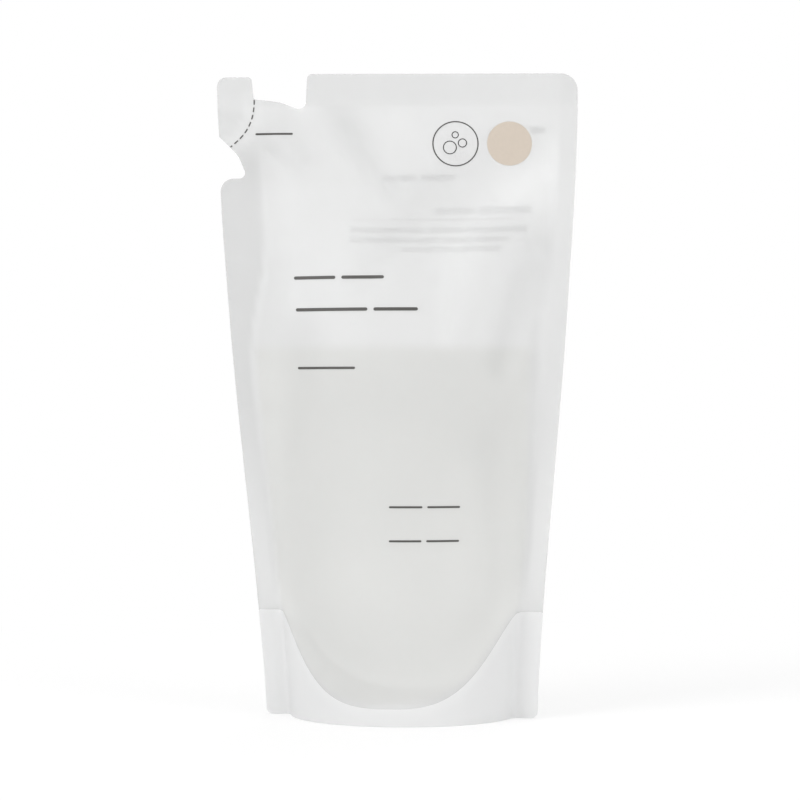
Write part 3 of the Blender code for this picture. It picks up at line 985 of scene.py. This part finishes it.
def make_print(name, surface, side, shapes, material):
    """Lay flat shapes, each a grid of (x, z) or (x, z, tone) rows, on the film as ink."""
    build = bmesh.new()
    layer = build.verts.layers.float_color.new(TONE_LAYER)
    for rows, closed in shapes:
        grid = []
        for row in rows:
            grid.append([])
            for x, z, *tone in row:
                vertex = build.verts.new(on_film(surface, side, x, z))
                density = tone[0] if tone else 1.0
                vertex[layer] = (density, density, density, 1.0)
                grid[-1].append(vertex)
        for row, following in zip(grid, grid[1:]):
            last = len(row) if closed else len(row) - 1
            for index in range(last):
                after = (index + 1) % len(row)
                corners = (row[index], row[after], following[after], following[index])
                build.faces.new(corners)
    bmesh.ops.remove_doubles(build, verts=build.verts[:], dist=MERGE_DISTANCE)
    bmesh.ops.recalc_face_normals(build, faces=build.faces[:])
    for face in build.faces:
        if face.normal.y * side < 0.0:
            face.normal_flip()
    mesh = bpy.data.meshes.new(name)
    build.to_mesh(mesh)
    build.free()
    piece = add_object(name, mesh, material)
    add_thickness(piece, PRINT_THICKNESS)
    return piece


def bar_shape(start, end, z, height):
    """Return a level bar with round ends."""
    radius = height / 2.0
    steps = max(2, math.ceil((end - start - height) / PRINT_STEP))
    quarter = math.pi / 2.0 / BAR_END_STEPS
    rounding = [radius * (1.0 - math.cos(quarter * step)) for step in range(BAR_END_STEPS)]
    places = [start + into for into in rounding]
    places += [start + radius + (end - start - height) * step / steps for step in range(steps + 1)]
    places += [end - into for into in rounding[::-1]]
    lower, middle, upper = [], [], []
    for x in places:
        beyond = max(start + radius - x, x - end + radius, 0.0)
        reach = math.sqrt(max(radius * radius - beyond * beyond, 0.0))
        reach = max(reach, radius * BAR_END_BLUNTNESS)
        lower.append((x, z - reach))
        middle.append((x, z))
        upper.append((x, z + reach))
    return [lower, middle, upper], False


def soft_bar_shape(start, end, z, height):
    """Return a level bar whose ink fades out towards its edges, as seen through frosted film."""
    steps = max(SOFT_BAR_STEPS, math.ceil((end - start) / PRINT_STEP))
    rows = []
    for offset, density in SOFT_ROWS:
        row = []
        for step in range(steps + 1):
            ends = min(step, steps - step, 1)
            row.append((start + (end - start) * step / steps, z + offset * height, density * ends))
        rows.append(row)
    return rows, False


def ring_shape(centre, inner, outer, rings=2):
    """Return a flat ring, or a disc where its inner radius is close to nothing."""
    turns = [2.0 * math.pi * step / RING_STEPS for step in range(RING_STEPS)]
    rows = []
    for row in range(rings):
        radius = inner + (outer - inner) * row / (rings - 1)
        rows.append([
            (centre[0] + radius * math.cos(turn), centre[1] + radius * math.sin(turn))
            for turn in turns
        ])
    return rows, True


def along_tear(lengths, points, at):
    """Return x and z of the point that lies a given length along the tear line."""
    x = float(np.interp(at, lengths, [point.x for point in points]))
    z = float(np.interp(at, lengths, [point.y for point in points]))
    return x, z


def tear_shapes():
    """Return the dashes of the tear line."""
    shares = [step / TEAR_SAMPLES for step in range(TEAR_SAMPLES + 1)]
    points = [Vector(bezier(TEAR_CURVE, share)) for share in shares]
    lengths = [0.0]
    for before, here in zip(points, points[1:]):
        lengths.append(lengths[-1] + (here - before).length)
    shapes = []
    at = DASH_GAP / 2.0
    while at < lengths[-1]:
        length = min(DASH, lengths[-1] - at)
        rows = [[], []]
        for step in range(DASH_STEPS + 1):
            along = at + length * step / DASH_STEPS
            x, z = along_tear(lengths, points, along)
            ahead_x, ahead_z = along_tear(lengths, points, along + TEAR_LOOK_AHEAD)
            across = Vector((ahead_z - z, x - ahead_x))
            if across.length > 0.0:
                across = across.normalized() * (DASH_WIDTH / 2.0)
            rows[0].append((x - across.x, z - across.y))
            rows[1].append((x + across.x, z + across.y))
        shapes.append((rows, False))
        at += DASH + DASH_GAP
    return shapes


def new_material(name):
    """Return a material, its node tree's nodes and links, and its Principled shader."""
    material = bpy.data.materials.new(name)
    material.use_nodes = True
    tree = material.node_tree
    return material, tree.nodes, tree.links, tree.nodes["Principled BSDF"]


def add_noise(nodes, links, scale_and_detail):
    """Return the output of a noise texture in object coordinates."""
    place = nodes.new("ShaderNodeTexCoord")
    noise = nodes.new("ShaderNodeTexNoise")
    for name, value in zip(("Scale", "Detail"), scale_and_detail):
        noise.inputs[name].default_value = value
    links.new(place.outputs["Object"], noise.inputs["Vector"])
    return noise.outputs["Fac"]


def map_range(nodes, links, source, span, new_span=(0.0, 1.0)):
    """Return a Map Range node that takes a socket's values from one span to another."""
    node = nodes.new("ShaderNodeMapRange")
    names = ("From Min", "From Max", "To Min", "To Max")
    for name, value in zip(names, (*span, *new_span)):
        node.inputs[name].default_value = value
    links.new(source, node.inputs["Value"])
    return node


def mix_colours(nodes, links, factor, first, second, blend="MIX"):
    """Return the output of a colour mix whose parts are sockets, numbers or plain colours."""
    node = nodes.new("ShaderNodeMix")
    node.data_type = "RGBA"
    node.blend_type = blend
    for name, value in (("Factor", factor), ("A", first), ("B", second)):
        if isinstance(value, float):
            node.inputs[name].default_value = value
        elif isinstance(value, tuple):
            node.inputs[name].default_value = (*value, 1.0)
        else:
            links.new(value, node.inputs[name])
    return node.outputs["Result"]


def read_tone(nodes):
    """Return the node that reads the tone written on a piece's points."""
    attribute = nodes.new("ShaderNodeAttribute")
    attribute.attribute_name = TONE_LAYER
    return attribute


def add_bump(nodes, links, height, strength_and_distance, normal=None):
    """Return the output of a bump node."""
    bump = nodes.new("ShaderNodeBump")
    for name, value in zip(("Strength", "Distance"), strength_and_distance):
        bump.inputs[name].default_value = value
    links.new(height, bump.inputs["Height"])
    if normal is not None:
        links.new(normal, bump.inputs["Normal"])
    return bump.outputs["Normal"]


def film_material(name, colour, alpha, glass, with_tone=True):
    """Return frosted film: a milky diffuse sheet with a soft gloss and a fine grain."""
    material, nodes, links, shader = new_material(name)
    clouds = map_range(nodes, links, add_noise(nodes, links, CLOUD_NOISE), NOISE_SPAN, CLOUD_TONE)
    result = mix_colours(nodes, links, 1.0, colour, clouds.outputs["Result"], "MULTIPLY")
    if with_tone:
        tone = read_tone(nodes).outputs["Color"]
        result = mix_colours(nodes, links, 1.0, result, tone, "MULTIPLY")
    links.new(result, shader.inputs["Base Color"])
    grain = add_noise(nodes, links, GRAIN_NOISE)
    rough = map_range(nodes, links, grain, NOISE_SPAN, FILM_ROUGHNESS)
    links.new(rough.outputs["Result"], shader.inputs["Roughness"])
    soft = add_bump(nodes, links, add_noise(nodes, links, SLACK_NOISE), SLACK_BUMP)
    fine = add_bump(nodes, links, grain, GRAIN_BUMP, soft)
    links.new(fine, shader.inputs["Normal"])
    shader.inputs["IOR"].default_value = FILM_IOR
    shader.inputs["Transmission Weight"].default_value = glass
    shader.inputs["Alpha"].default_value = alpha
    return material


def liquid_material():
    """Return the milky look of the clear liquid behind frosted film, with painted light on its thin
    edges and right side.
    """
    material, nodes, links, shader = new_material("liquid_soap")
    place = nodes.new("ShaderNodeTexCoord")
    split = nodes.new("ShaderNodeSeparateXYZ")
    links.new(place.outputs["Object"], split.inputs["Vector"])
    body = LIQUID_LOWER
    for axis, span, colour in (
        ("Z", LIQUID_UPPER_RISE, LIQUID_UPPER),
        ("X", LIQUID_WARM_AND_LIGHT_RUN, LIQUID_WARM_AND_PAINTED_LIGHT),
        ("Z", (FILL_HEIGHT - LIQUID_FADE, FILL_HEIGHT), LIQUID_TOP_AND_EDGE_LIGHT),
    ):
        share = map_range(nodes, links, split.outputs[axis], span)
        body = mix_colours(nodes, links, share.outputs["Result"], body, colour)
    # Painted light on the thin edges and underside, which lie in shade
    body = mix_colours(nodes, links, read_tone(nodes).outputs["Fac"], LIQUID_TOP_AND_EDGE_LIGHT, body)
    links.new(body, shader.inputs["Base Color"])
    shader.inputs["Roughness"].default_value = LIQUID_ROUGHNESS
    shader.inputs["Transmission Weight"].default_value = LIQUID_GLASS
    shader.inputs["IOR"].default_value = LIQUID_IOR
    shader.inputs["Alpha"].default_value = LIQUID_ALPHA
    return material


def ink_material(name, colour):
    """Return printed ink with a slightly uneven density, paler where the print fades out."""
    material, nodes, links, shader = new_material(name)
    density = map_range(nodes, links, add_noise(nodes, links, INK_NOISE), NOISE_SPAN)
    lighter = tuple(value * INK_UNEVENNESS for value in colour)
    result = mix_colours(nodes, links, density.outputs["Result"], colour, lighter)
    tone = read_tone(nodes).outputs["Fac"]
    result = mix_colours(nodes, links, tone, FILM_COLOUR, result)
    links.new(result, shader.inputs["Base Color"])
    shader.inputs["Roughness"].default_value = INK_ROUGHNESS
    return material


def plain_shader(nodes, kind, **values):
    """Return the output of a shader node whose inputs are given by name."""
    node = nodes.new(kind)
    for name, value in values.items():
        node.inputs[name].default_value = value
    return node.outputs[0]


def join_shaders(nodes, links, kind, *sockets):
    """Return the output of a node that adds or mixes shaders, its inputs given in their order."""
    node = nodes.new(kind)
    for index, socket in enumerate(sockets):
        links.new(socket, node.inputs[index])
    return node.outputs[0]


def floor_material():
    """Return a pale floor that keeps the pouch's soft shadow and ends in plain white."""
    material = bpy.data.materials.new("stage_floor")
    material.use_nodes = True
    nodes, links = material.node_tree.nodes, material.node_tree.links
    nodes.clear()
    unseen = plain_shader(nodes, "ShaderNodeBsdfDiffuse", Color=FLOOR_COLOUR)
    shaded = plain_shader(nodes, "ShaderNodeBsdfDiffuse", Color=FLOOR_SEEN_COLOUR)
    glow = plain_shader(nodes, "ShaderNodeEmission", Strength=FLOOR_GLOW)
    white = plain_shader(nodes, "ShaderNodeEmission", Strength=1.0)
    near = join_shaders(nodes, links, "ShaderNodeAddShader", shaded, glow)
    place = nodes.new("ShaderNodeTexCoord")
    length = nodes.new("ShaderNodeVectorMath")
    length.operation = "LENGTH"
    links.new(place.outputs["Object"], length.inputs[0])
    fade = map_range(
        nodes, links, length.outputs["Value"], (FLOOR_SHADE_RADIUS, FLOOR_WHITE_RADIUS)
    )
    fade.interpolation_type = "SMOOTHSTEP"
    seen = join_shaders(
        nodes, links, "ShaderNodeMixShader", fade.outputs["Result"], near, white
    )
    final = join_shaders(
        nodes, links, "ShaderNodeMixShader", direct_rays(nodes, links), unseen, seen
    )
    output = nodes.new("ShaderNodeOutputMaterial")
    links.new(final, output.inputs["Surface"])
    return material


def direct_rays(nodes, links):
    """Return 1 for the rays that see a surface directly, in gloss or through glass."""
    path = nodes.new("ShaderNodeLightPath")
    seen = path.outputs["Is Camera Ray"]
    for name in ("Is Glossy Ray", "Is Transmission Ray"):
        either = nodes.new("ShaderNodeMath")
        either.operation = "MAXIMUM"
        links.new(seen, either.inputs[0])
        links.new(path.outputs[name], either.inputs[1])
        seen = either.outputs[0]
    return seen


def make_world():
    """Light the scene from all round, and show plain white behind it."""
    world = bpy.data.worlds.new("studio")
    world.use_nodes = True
    nodes, links = world.node_tree.nodes, world.node_tree.links
    nodes.clear()
    ambient = plain_shader(nodes, "ShaderNodeBackground", Color=WHITE, Strength=AMBIENT)
    white = plain_shader(nodes, "ShaderNodeBackground", Color=WHITE, Strength=1.0)
    final = join_shaders(
        nodes, links, "ShaderNodeMixShader", direct_rays(nodes, links), ambient, white
    )
    output = nodes.new("ShaderNodeOutputWorld")
    links.new(final, output.inputs["Surface"])
    bpy.context.scene.world = world


def aim(thing, target):
    """Turn a light or the camera towards a point."""
    thing.rotation_euler = (Vector(target) - thing.location).to_track_quat("-Z", "Y").to_euler()


def add_area_light(name, place, size, power):
    """Add a large soft light that is aimed at the pouch."""
    data = bpy.data.lights.new(name, "AREA")
    data.shape = "DISK"
    data.size = size
    data.energy = power
    light = bpy.data.objects.new(name, data)
    light.location = place
    bpy.context.scene.collection.objects.link(light)
    aim(light, TARGET)


def make_stage():
    """Make the floor, the lights and the world."""
    build = bmesh.new()
    bmesh.ops.create_circle(build, cap_ends=True, segments=FLOOR_STEPS, radius=FLOOR_RADIUS)
    mesh = bpy.data.meshes.new("floor")
    build.to_mesh(mesh)
    build.free()
    mesh.materials.append(floor_material())
    floor = bpy.data.objects.new("floor", mesh)
    floor.location.z = -FLOOR_DROP
    bpy.context.scene.collection.objects.link(floor)
    make_world()
    for name, (place, size, power) in LAMPS.items():
        add_area_light(name, place, size, power)


def make_camera():
    """Place the level camera of the photograph."""
    data = bpy.data.cameras.new("camera")
    data.sensor_width = SENSOR_WIDTH
    data.lens = CAMERA_LENS
    data.shift_x = CAMERA_SHIFT
    camera = bpy.data.objects.new("camera", data)
    camera.location = (
        CAMERA_DISTANCE * math.sin(CAMERA_TURN),
        -CAMERA_DISTANCE * math.cos(CAMERA_TURN),
        CAMERA_HEIGHT,
    )
    bpy.context.scene.collection.objects.link(camera)
    aim(camera, (0.0, 0.0, CAMERA_HEIGHT))
    bpy.context.scene.camera = camera


def dress(piece, node=None):
    """Tie a piece to the pouch's body, and hide the solid that it stands for."""
    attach(piece, "root")
    if node:
        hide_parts(node)


def make_pouch():
    """Build the films, the gusset and the liquid, and lay the print on them."""
    film = film_material("frosted_film", FILM_COLOUR, FILM_ALPHA, FILM_GLASS)
    sealed_film = film_material("sealed_film", SEALED_COLOUR, SEALED_ALPHA, SEALED_GLASS)
    gusset_film = film_material("gusset_film", GUSSET_COLOUR, GUSSET_ALPHA, FILM_GLASS, False)
    seam_film = film_material("seam_film", SEALED_COLOUR, SEALED_ALPHA, SEALED_GLASS, False)
    front = make_panel("film_front", -1.0, FRONT_CREASES, film, sealed_film)
    back = make_panel("film_back", 1.0, BACK_CREASES, film, sealed_film)
    dress(front, "front_film")
    dress(back, "back_film")
    dress(make_gusset(gusset_film, seam_film), "bottom_gusset")
    dress(make_liquid(liquid_material()), "soap_fill")
    dark = ink_material("dark_ink", DARK_INK)
    beige = ink_material("beige_ink", BEIGE_INK)
    grey = ink_material("back_ink", BACK_INK)
    surface = film_surface(front)
    ring = [ring_shape(RING_CENTRE, RING_RADIUS - RING_LINE, RING_RADIUS)]
    for x, z, radius in BUBBLES:
        centre = (RING_CENTRE[0] + x, RING_CENTRE[1] + z)
        ring.append(ring_shape(centre, radius - BUBBLE_LINE, radius))
    dress(make_print("ring_mark", surface, -1.0, ring, dark))
    dot = [ring_shape(DOT_CENTRE, 0.0, DOT_RADIUS, DOT_RINGS)]
    dress(make_print("dot_mark", surface, -1.0, dot, beige))
    dress(make_print("tear_line", surface, -1.0, tear_shapes(), dark))
    bars = [bar_shape(*bar) for bar in FRONT_BARS]
    dress(make_print("front_bars", surface, -1.0, bars, dark))
    bars = [soft_bar_shape(*bar) for bar in BACK_BARS]
    dress(make_print("back_bars", film_surface(back), 1.0, bars, grey))


def main():
    """Load the frame and build the scene round it."""
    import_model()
    bpy.context.scene.view_settings.view_transform = "Standard"
    bpy.context.scene.cycles.transparent_max_bounces = 32
    make_pouch()
    make_stage()
    make_camera()


main()
